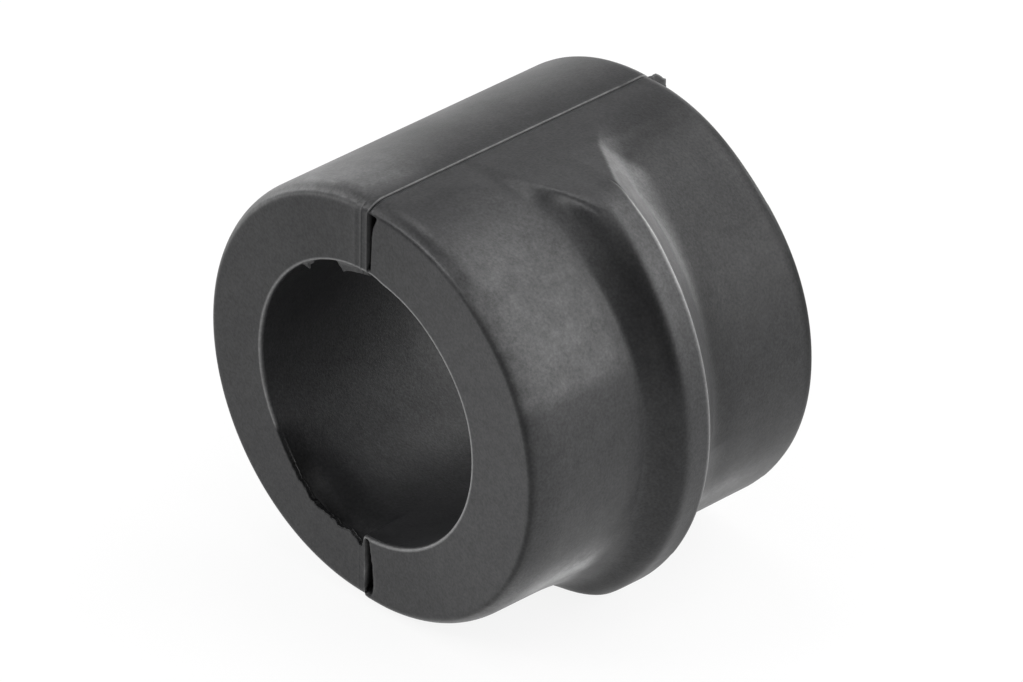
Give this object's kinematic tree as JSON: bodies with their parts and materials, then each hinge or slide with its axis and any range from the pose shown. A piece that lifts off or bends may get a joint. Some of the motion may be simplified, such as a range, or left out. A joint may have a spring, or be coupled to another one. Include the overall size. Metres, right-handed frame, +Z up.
{
  "type": "sway bar bushing",
  "caption": "Moulded rubber sleeve with a through bore for a sway bar and a raised half ring that locks it in its clamp.",
  "frame": {"origin": "middle of the bore, on its axis", "axes": "+Y along the bore from the front end to the far end, +Z up from the flat it rests on, +X towards the side with the half ring"},
  "size_m": [0.0659, 0.0528, 0.06],
  "materials": {
    "rubber": "matte moulded rubber"
  },
  "bodies": {
    "root": {"bushing": "rubber"}
  },
  "joints": []
}
